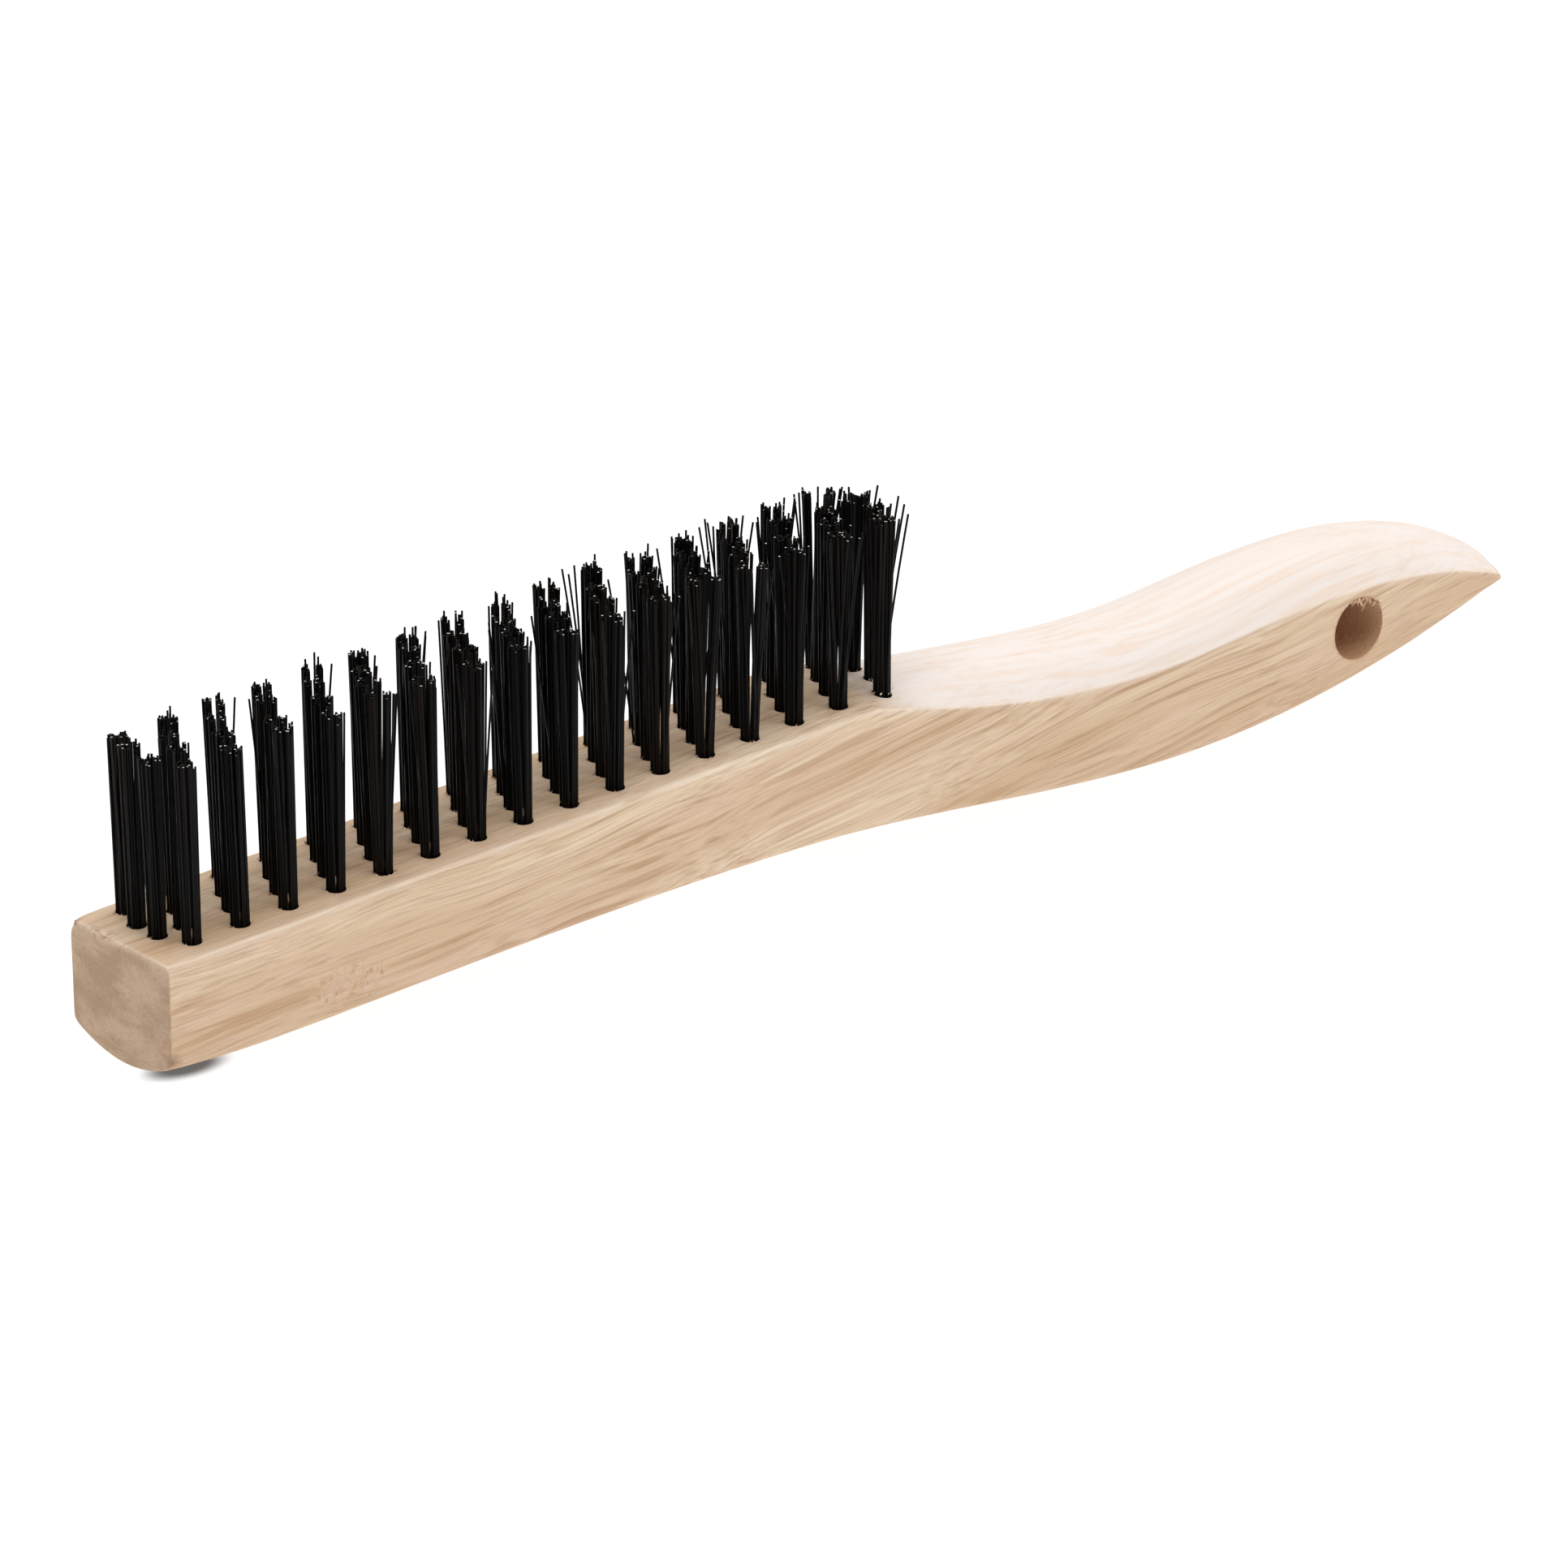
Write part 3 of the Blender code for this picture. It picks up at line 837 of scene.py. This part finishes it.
    def drill(self, blank: bpy.types.Mesh, places: Array) -> bpy.types.Mesh:
        """Cuts the tuft holes and the hang hole.

        Args:
            blank: the wood in the row frame.
            places: (tufts, 2) x and y of the tufts in the brush's frame.

        Returns:
            The cut mesh.
        """
        count = self.tuft_hole_sides
        ring = circle(count) * self.tuft_hole_radius
        flat = np.broadcast_to((places[:, None, None] + ring[None, None]), (len(places), 2, count, 2))
        z = np.array((-self.tuft_hole_depth, self.drill_start))[None, :, None, None]
        holes = np.concatenate((flat, np.broadcast_to(z, (len(places), 2, count, 1))), -1)
        x, z = (np.array(self.hang_hole) + circle(self.hang_hole_sides) * self.hang_hole_radius).T
        bore = np.stack([np.stack((x, y + 0 * x, z), -1) for y in (self.width, -self.width)])[None]
        cut = blank
        for name, rings in (("tuft_holes", holes), ("hang_hole", bore)):
            holder = link_object("blank", cut)
            tool = link_object(name, capped_tubes(name, rings, self.pose))
            modifier = holder.modifiers.new(name, "BOOLEAN")
            modifier.operation, modifier.solver, modifier.object = "DIFFERENCE", "EXACT", tool
            graph = bpy.context.evaluated_depsgraph_get()
            cut = bpy.data.meshes.new_from_object(holder.evaluated_get(graph))
            for obj in (holder, tool):
                bpy.data.objects.remove(obj)
        return cut

    def dress(self, mesh: bpy.types.Mesh) -> None:
        """Stores where the wood is sawn across, torn or bruised, and where the handle top and top edges are
        paler, partly from sanding and wear and partly as painted highlight.

        Args:
            mesh: the cut wood in the row frame.
        """
        p = self.pose.to_brush(vertex_places(mesh))
        x, y, z = p.T
        edge = hermite(self.top_edge, x)
        # Handle top from the neck on, paler by sanding and by a painted highlight of the top light.
        above = smooth(z, -1, 0) * smooth(z - edge, -0.1 * MM, 0.35 * MM)
        sanded_and_highlight = above * smooth(x, self.neck_start - 1 * MM, self.neck_start + 9 * MM)
        bore = np.hypot(x - self.hang_hole[0], z - self.hang_hole[1]) < self.hang_hole_radius * 1.02
        # Long top edges and the plain end's top edge, paler from rubbing plus a painted highlight along the
        # rounding.
        from_edge = np.hypot(self.width / 2 - np.abs(y), z - edge)
        wear_and_highlight = np.exp(-((from_edge / (0.62 * MM)) ** 4)) * (0.75 + 0.4 * LatticeNoise(8, (4 * MM,) * 3)(p))
        wear_and_highlight *= 1 - 0.55 * smooth(x, self.neck_start, self.neck_start + 20 * MM)
        end = smooth(x, 0.30 * MM, 0.12 * MM)
        wear_and_highlight = np.maximum(wear_and_highlight, 0.7 * np.exp(-((z / (0.7 * MM)) ** 2)) * smooth(x, 0.9 * MM, 0.2 * MM))
        notch = bump_at(p, self.on_front(self.notch), (0.9 * MM, 0.9 * MM, 1.1 * MM))
        nick = bump_at(p, self.on_front(self.nick), (0.7 * MM, 0.9 * MM, 0.5 * MM))
        crumbs = bump_at(p, (0.2 * MM, 4.4 * MM, -0.1 * MM), (1.2 * MM, 1.9 * MM, 0.9 * MM))
        crumbs += bump_at(p, (0.0, self.width / 2 - 0.6 * MM, -0.4 * MM), (1.3 * MM, 1.2 * MM, 1.2 * MM))
        chips = LatticeNoise(4, (0.5 * MM,) * 3)(p)
        for name, values in {
            "end_grain": end * (1 - np.clip(wear_and_highlight, 0, 1)),
            "sanded_and_highlight": np.clip(sanded_and_highlight, 0, 1) * ~bore,
            "torn": np.clip(self.torn_mask(p) + 1.8 * crumbs * (chips > -0.3), 0, 1),
            "drilled": bore * 0.7,
            "worn_edge_and_highlight": np.clip(wear_and_highlight, 0, 1),
            "bruise": np.clip(0.9 * notch + 0.4 * nick + 0.9 * crumbs * (chips > 0.25), 0, 1),
        }.items():
            add_values(mesh, name, values)

    def build(self, places: Array, finish: bpy.types.Material) -> None:
        """Makes the wood and lets it stand for its CAD node.

        Args:
            places: (tufts, 2) x and y of the tufts.
            finish: the wood's material.
        """
        points, normals = self.shell()
        rings, count, _ = points.shape
        fade = smooth(np.arange(rings)[::-1], 5, 30)[:, None]
        points = points + normals * (self.relief(points) * fade)[..., None]
        quads = ring_faces(rings, count, True)
        placed = self.pose.to_row(points.reshape(-1, 3))
        blank = make_mesh("blank", placed, quads.reshape(-1), np.full(len(quads), 4), weld=1e-7)
        mesh = self.drill(blank, places)
        mesh.name = "hardwood_block_and_handle"
        self.dress(mesh)
        add_piece(mesh, finish, ("block_and_handle",), 32.0)


# ---------------------------------------------------------------- wire


@dataclass
class WireTufts:
    """Tufts of straight wires, each wire folded in two under its anchor so that both legs stand up."""

    pose: BenchPose
    nodes: tuple[str, ...]
    row_spacing: float = 4.65 * MM
    wires: int = 19
    wire_radius: float = 0.165 * MM
    leg_gap: float = 0.16 * MM
    trim: float = 26.8 * MM
    fold_depth: float = 9.5 * MM
    rises: tuple[float, ...] = (1.0, 0.86, 0.70, 0.52, 0.34, 0.16, 0.03)
    fold: tuple[tuple[float, float], ...] = ((-6.6 * MM, 0.98), (-8.4 * MM, 0.8))
    tuft_lean: float = 0.14 * MM
    wire_cut: float = 0.32 * MM
    tuft_cut: float = 0.25 * MM
    most_cut: float = 2 * MM
    bright_share: float = 0.25
    sides: int = 6
    length: float = 130.0 * MM
    seed: int = 20

    def places(self, node: str) -> Array:
        """Middles of a rank's tufts, from the tips of its CAD node, front row first.

        Args:
            node: the CAD node.

        Returns:
            (tufts, 2) x and y in the brush's frame.
        """
        tips = self.pose.to_brush(vertex_places(frame["nodes"][node].data))
        tips = tips[tips[:, 2] > self.trim - 1 * MM]
        row = np.floor((tips[:, 1] - tips[:, 1].min()) / self.row_spacing + 0.15).astype(int)
        boxes = [tips[row == r] for r in np.unique(row)]
        return np.array([(box.min(0) + box.max(0))[:2] / 2 for box in boxes])

    def packing(self) -> tuple[Array, Array]:
        """Wire middles of the two legs of a tuft, in close rows either side of the anchor.

        Returns:
            Along the anchor and away from it, for one leg; the other mirrors it.
        """
        pitch = 2 * self.wire_radius * 1.04
        rows = np.arange(6)
        away = self.leg_gap + self.wire_radius + rows * pitch * 0.87
        along = (np.arange(-6, 7)[None] + 0.5 * (rows % 2)[:, None]) * pitch
        away = np.broadcast_to(away[:, None], along.shape)
        near = np.argsort((along**2 + away**2).ravel())[: self.wires]
        return along.ravel()[near], away.ravel()[near]

    def paths(self, places: Array, across: float, rng: np.random.Generator) -> Array:
        """Middle lines of a rank's wires.

        A leg leans from its hole to its tip by a share of height to the power 1.2, and joins the other
        leg in a narrow fold under the anchor.

        Args:
            places: (tufts, 2) tuft middles.
            across: direction of the anchors in plan, as an angle from x.
            rng: source of the scatter.

        Returns:
            (tufts, wires, points, 3) places, from one tip to the other.
        """
        tufts = len(places)
        along, away = self.packing()
        share = np.clip(places[:, 0] / self.length, 0.0, 1.0)[:, None, None]
        size = (tufts, self.wires, 2)
        cos, sin = math.cos(across), math.sin(across)
        lean = -0.3 * MM + 1.0 * MM * share + rng.normal(0, self.tuft_lean, (tufts, 1, 1))
        side = rng.normal(0, self.tuft_lean, (tufts, 1, 1)) + np.zeros(size)
        spread = (0.10 + 0.26 * share**2) * MM
        split = np.abs(rng.normal(0, 0.10 + 0.42 * share, (tufts, 1, 1))) * MM * np.array((1.0, -1.0))
        splay_x = rng.normal(0, 1, size) * spread + lean - split * sin
        splay_y = rng.normal(0, 1, size) * spread + side + split * cos
        stray = rng.random(size) < 0.020 + 0.13 * share**1.6
        turn = rng.uniform(0, 2 * math.pi, size)
        far = rng.uniform(0.8, 2.0 + 2.2 * share, size) * MM * stray
        splay_x += far * np.cos(turn)
        splay_y += far * np.sin(turn) * 0.6
        cut = rng.normal(0, self.wire_cut, size) + rng.normal(0, self.tuft_cut, (tufts, 1, 1))
        cut += np.where(rng.random(size) < 0.06 + 0.08 * share, rng.uniform(-1.5, 1.9, size) * MM, 0.0)
        height = self.trim - 0.15 * MM + np.clip(cut, -self.most_cut, self.most_cut)
        jitter = rng.normal(0, 0.02 * MM, size)
        rises = np.array(self.rises)
        legs = []
        for leg, sign in enumerate((1.0, -1.0)):
            open_up = 1.0 + 0.10 * rises
            u = (along[None, :] + jitter[..., 0])[..., None] * open_up
            v = sign * (away[None, :] + jitter[..., 1])[..., None] * open_up
            x = u * cos - v * sin + splay_x[..., leg, None] * rises**1.2
            y = u * sin + v * cos + splay_y[..., leg, None] * rises**1.2
            z = height[..., leg, None] * rises
            legs.append(np.stack((x + places[:, None, None, 0], y + places[:, None, None, 1], z), -1))
        middle = (legs[0][:, :, -1] + legs[1][:, :, -1])[..., :2] / 2
        for leg in range(2):
            foot = legs[leg][:, :, -1, :2] - middle
            fold = [
                np.concatenate((middle + foot * inward, np.full((*foot.shape[:2], 1), depth)), -1)
                for depth, inward in self.fold
            ]
            legs[leg] = np.concatenate((legs[leg], np.stack(fold, 2)), 2)
        lowest = np.full((*middle.shape[:2], 1), self.wire_radius - self.fold_depth)
        bottom = np.concatenate((middle, lowest), -1)
        return np.concatenate((legs[0], bottom[:, :, None], legs[1][:, :, ::-1]), 2)

    def tubes(self, name: str, paths: Array, across: float) -> bpy.types.Mesh:
        """Round wires along middle lines, a circle carried along each in its own plane.

        Args:
            name: the mesh's name.
            paths: (wires, points, 3) middle lines in the brush's frame.
            across: direction of the anchors in plan, which the wires' planes stand square to.

        Returns:
            The mesh in the row frame, its sheared ends marked.
        """
        tangent = np.gradient(paths, axis=1)
        tangent /= np.linalg.norm(tangent, axis=-1, keepdims=True)
        flat = np.array((math.cos(across), math.sin(across), 0.0))
        other = np.cross(tangent, flat)
        other /= np.linalg.norm(other, axis=-1, keepdims=True)
        cos, sin = circle(self.sides).T
        outline = cos[:, None] * flat + sin[:, None] * other[:, :, None]
        mesh = capped_tubes(name, paths[:, :, None] + self.wire_radius * outline, self.pose)
        ends = 2 * len(paths)
        bright = np.random.default_rng(self.seed + len(paths)).random(ends) < self.bright_share
        dull_walls = np.zeros(len(mesh.polygons) - ends)
        add_values(mesh, "sheared", np.concatenate((dull_walls, bright * 1.0)), "FACE")
        return mesh

    def build(self, finish: bpy.types.Material) -> Array:
        """Makes every rank and lets it stand for its CAD node.

        Args:
            finish: the wires' material.

        Returns:
            (tufts, 2) x and y of all tufts.
        """
        found = []
        for number, node in enumerate(self.nodes):
            rng = np.random.default_rng(self.seed + number)
            places = self.places(node)
            run = places[-1] - places[0]
            across = math.atan2(run[1], run[0])
            paths = self.paths(places, across, rng)
            paths = paths.reshape(-1, *paths.shape[-2:])
            mesh = self.tubes(node.replace("tufts", "wires"), paths, across)
            add_piece(mesh, finish, (node,), 50.0)
            found.append(places)
        return np.concatenate(found)


@dataclass
class StapleAnchors:
    """Short flat wires driven across the folds, one to each tuft."""

    pose: BenchPose
    nodes: tuple[str, ...]
    tufts: WireTufts
    reach: float = 2.4 * MM
    thickness: float = 0.3 * MM
    low: float = -8.35 * MM
    high: float = -6.6 * MM
    rounding: float = 0.09 * MM

    def build(self, finish: bpy.types.Material) -> None:
        """Makes a rank's anchors as flat bars with rounded edges, a rounded outline carried along each.

        Args:
            finish: the anchors' material.
        """
        middle, half = (self.low + self.high) / 2, (self.high - self.low) / 2
        turn = np.radians((15, 75, 105, 165, 195, 255, 285, 345))
        wide = self.thickness / 2 - self.rounding
        out_v = np.sign(np.cos(turn)) * wide + self.rounding * np.cos(turn)
        out_z = np.sign(np.sin(turn)) * (half - self.rounding) + self.rounding * np.sin(turn)
        steps = np.array((-1.0, -0.97, 0.97, 1.0)) * self.reach
        scale = np.array((0.6, 1.0, 1.0, 0.6))[:, None]
        for node in self.nodes:
            places = self.tufts.places(node.replace("anchors", "tufts"))
            run = (places[-1] - places[0]) / np.linalg.norm(places[-1] - places[0])
            v = out_v * scale
            flat = steps[:, None, None] * run + v[..., None] * np.array((-run[1], run[0]))
            bar = np.concatenate((flat, (middle + out_z * scale)[..., None]), -1)
            points = bar[None] + np.pad(places, ((0, 0), (0, 1)))[:, None, None]
            mesh = capped_tubes(node.replace("anchors", "staples"), points, self.pose)
            add_piece(mesh, finish, (node,), 50.0)


# ---------------------------------------------------------------- torn fibre


@dataclass
class Splinters:
    """Thin tapered slivers of torn wood, each a three-sided spindle bent along its length."""

    pose: BenchPose
    seed: int = 7

    def spindles(self, name: str, roots: Array, ways: Array, lengths: Array, widths: Array) -> bpy.types.Mesh:
        """Slivers that taper as 1 - t^1.5 from root to point and curl off their line as t^2.

        Args:
            name: the mesh's name.
            roots: (slivers, 3) places they grow from.
            ways: (slivers, 3) unit directions.
            lengths: length of each.
            widths: half width of each at its root.

        Returns:
            The mesh in the row frame.
        """
        t = np.array((-0.12, 0.2, 0.5, 0.78, 1.0))
        rng = np.random.default_rng(self.seed)
        curl = rng.normal(0, 0.22, (len(roots), 1, 3)) * lengths[:, None, None]
        run = ways[:, None] * (t * lengths[:, None])[..., None]
        line = roots[:, None] + run + curl * (t**2)[None, :, None]
        side = np.cross(ways, rng.normal(0, 1, ways.shape))
        side /= np.linalg.norm(side, axis=1, keepdims=True)
        up = np.cross(ways, side)
        angle = np.radians((0, 120, 240))
        spoke = np.cos(angle)[:, None] * side[:, None] + np.sin(angle)[:, None] * up[:, None] * 0.55
        taper = np.maximum(1 - np.abs(t) ** 1.5, 0.04) * widths[:, None]
        return capped_tubes(name, line[:, :, None] + taper[..., None, None] * spoke[:, None], self.pose)

    def burrs(self, places: Array, radius: float, finish: bpy.types.Material) -> None:
        """Fibres raised round the tuft holes by the drill, mostly at their ends along the grain.

        Args:
            places: (tufts, 2) tuft middles.
            radius: radius of the holes.
            finish: their material.
        """
        rng = np.random.default_rng(self.seed + 1)
        count = 12 * len(places)
        owner = rng.integers(0, len(places), count)
        angle = rng.uniform(0, 2 * math.pi, count)
        angle -= 0.35 * np.sin(2 * angle)
        out = np.stack((np.cos(angle), np.sin(angle)), -1)
        flat = places[owner] + out * radius * rng.uniform(0.96, 1.12, (count, 1))
        roots = np.concatenate((flat, np.full((count, 1), -0.03 * MM)), 1)
        lift = rng.uniform(0.15, 1.3, count)
        ways = np.concatenate((out * rng.choice((-0.6, 1.0), (count, 1), p=(0.3, 0.7)), lift[:, None]), 1)
        ways += rng.normal(0, 0.35, ways.shape) * (1, 1, 0)
        ways /= np.linalg.norm(ways, axis=1, keepdims=True)
        lengths = rng.gamma(3.0, 0.09 * MM, count) + 0.12 * MM
        widths = rng.uniform(0.07, 0.19, count) * MM
        add_piece(self.spindles("hole_burrs", roots, ways, lengths, widths), finish)

    def hang_hole_fuzz(self, wood: WoodBlock, finish: bpy.types.Material) -> None:
        """Fibres torn loose where the drill broke out at the rim of the hang hole, on both sides.

        Args:
            wood: the wood, for the hole's place and size.
            finish: their material.
        """
        rng = np.random.default_rng(self.seed + 2)
        count = 130
        angle = np.radians(rng.normal(80, 19, count))
        face = rng.choice((-1.0, 1.0), count, p=(0.7, 0.3))
        radius = wood.hang_hole_radius * rng.uniform(0.97, 1.03, count)
        x = wood.hang_hole[0] + radius * np.cos(angle)
        z = wood.hang_hole[1] + radius * np.sin(angle)
        y = face * (wood.width / 2 - rng.uniform(0.0, 1.5, count) * MM)
        inward = np.stack((-np.cos(angle), 0 * angle, -np.sin(angle)), -1)
        ways = inward + np.stack((rng.normal(0, 0.9, count), face * rng.uniform(-0.6, 0.5, count), 0 * x), -1)
        ways /= np.linalg.norm(ways, axis=1, keepdims=True)
        lengths = rng.gamma(3.0, 0.22 * MM, count) + 0.35 * MM
        widths = rng.uniform(0.16, 0.42, count) * MM
        mesh = self.spindles("hang_hole_fuzz", np.stack((x, y, z), -1), ways, lengths, widths)
        add_piece(mesh, finish)


# ---------------------------------------------------------------- studio


class Softness(Enum):
    """Width of an area light, in metres."""

    BROAD = 2.4
    SMALL = 0.9


@dataclass
class Studio:
    """Pale bench, soft lights and the camera."""

    # Centre of the painted contact shadow on the bench.
    shadow_spot: tuple[float, float, float]
    floor_size: float = 14.0
    floor_cells: int = 8
    sky: float = 0.36
    aim: tuple[float, float, float] = (-0.056517, -0.053389, 0.041383)
    distance: float = 1.36609
    azimuth: float = math.radians(-42.0046)
    elevation: float = math.radians(22.3646)
    roll: float = math.radians(1.9285)
    lens: float = 227.54
    lamps: tuple[tuple[str, tuple[float, float, float], float, Softness], ...] = field(
        default_factory=lambda: (
            ("top_light", (0.1, 0.15, 1.7), 39.0, Softness.BROAD),
            ("front_light", (0.9, -2.3, 1.1), 9.0, Softness.SMALL),
        )
    )

    def bench(self, height: float) -> None:
        """A wide sheet under the brush."""
        cells, half = self.floor_cells, self.floor_size / 2
        x, y = np.meshgrid(*[np.linspace(-half, half, cells + 1)] * 2)
        points = np.stack((x, y, 0 * x + height), -1).reshape(-1, 3)
        i = (np.arange(cells)[:, None] * (cells + 1) + np.arange(cells)).reshape(-1)
        quads = np.stack((i, i + 1, i + cells + 2, i + cells + 1), -1)
        mesh = make_mesh("bench", points, quads.reshape(-1), np.full(len(quads), 4))
        mesh.materials.append(BenchFinish().material(self.shadow_spot))
        floor = link_object("bench", mesh)
        floor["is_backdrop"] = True

    def lights(self) -> None:
        """Area lights that look at the origin, an even sky and the plain colour view."""
        for name, place, power, softness in self.lamps:
            lamp = bpy.data.lights.new(name, "AREA")
            lamp.energy, lamp.size = power, softness.value
            turn = (-Vector(place)).to_track_quat("-Z", "Y").to_matrix()
            link_object(name, lamp).matrix_world = Matrix.Translation(place) @ turn.to_4x4()
        world = bpy.data.worlds.new("studio")
        world.use_nodes = True
        background = world.node_tree.nodes["Background"]
        background.inputs["Color"].default_value = (1.0, 1.0, 1.0, 1.0)
        background.inputs["Strength"].default_value = self.sky
        bpy.context.scene.world = world
        bpy.context.scene.view_settings.view_transform = "Standard"

    def camera(self) -> None:
        """A long lens that looks down along the brush from its plain end."""
        a, e = self.azimuth, self.elevation
        back = Vector((math.sin(a) * math.cos(e), -math.cos(a) * math.cos(e), math.sin(e)))
        turn = (-back).to_track_quat("-Z", "Y").to_matrix() @ Matrix.Rotation(self.roll, 3, "Z")
        data = bpy.data.cameras.new("camera")
        data.lens, data.sensor_width = self.lens, 36.0
        data.clip_start, data.clip_end = 0.05, 50.0
        obj = link_object("camera", data)
        obj.matrix_world = Matrix.Translation(Vector(self.aim) + back * self.distance) @ turn.to_4x4()
        bpy.context.scene.camera = obj

    def build(self, floor_height: float) -> None:
        """Makes the whole studio round a brush that stands at this height."""
        self.bench(floor_height)
        self.lights()
        self.camera()


def main() -> None:
    """Builds the brush piece by piece, then the studio."""
    logging.basicConfig(level=logging.INFO, format="%(message)s")
    cad_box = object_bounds()
    pose = BenchPose.from_record(frame["record"], PLAIN_END_MOUNT_DEPTH)
    tuft_nodes = tuple(sorted(name for name in frame["nodes"] if name.startswith("tufts_")))
    anchor_nodes = tuple(sorted(name for name in frame["nodes"] if name.startswith("anchors_")))
    tufts = WireTufts(pose, tuft_nodes)
    places = tufts.build(TuftWireFinish().material())
    wood = WoodBlock(pose)
    wood.build(places, HardwoodFinish().material(pose))
    StapleAnchors(pose, anchor_nodes, tufts).build(AnchorFinish().material())
    splinters = Splinters(pose)
    splinters.burrs(places, wood.tuft_hole_radius, SplinterFinish("raised_fibre").material())
    torn_fibre = SplinterFinish("torn_fibre", pale=(0.74, 0.50, 0.33), brown=(0.34, 0.19, 0.095))
    splinters.hang_hole_fuzz(wood, torn_fibre.material())
    # The painted contact shadow's centre in the row frame, for the bench.
    shadow_spot = pose.to_row(np.array((HEEL_SHADOW_SPOT[0], HEEL_SHADOW_SPOT[1] - wood.width / 2, HEEL_SHADOW_SPOT[2])))
    Studio(tuple(shadow_spot)).build(cad_box[0].z)


if __name__ == "__main__":
    main()
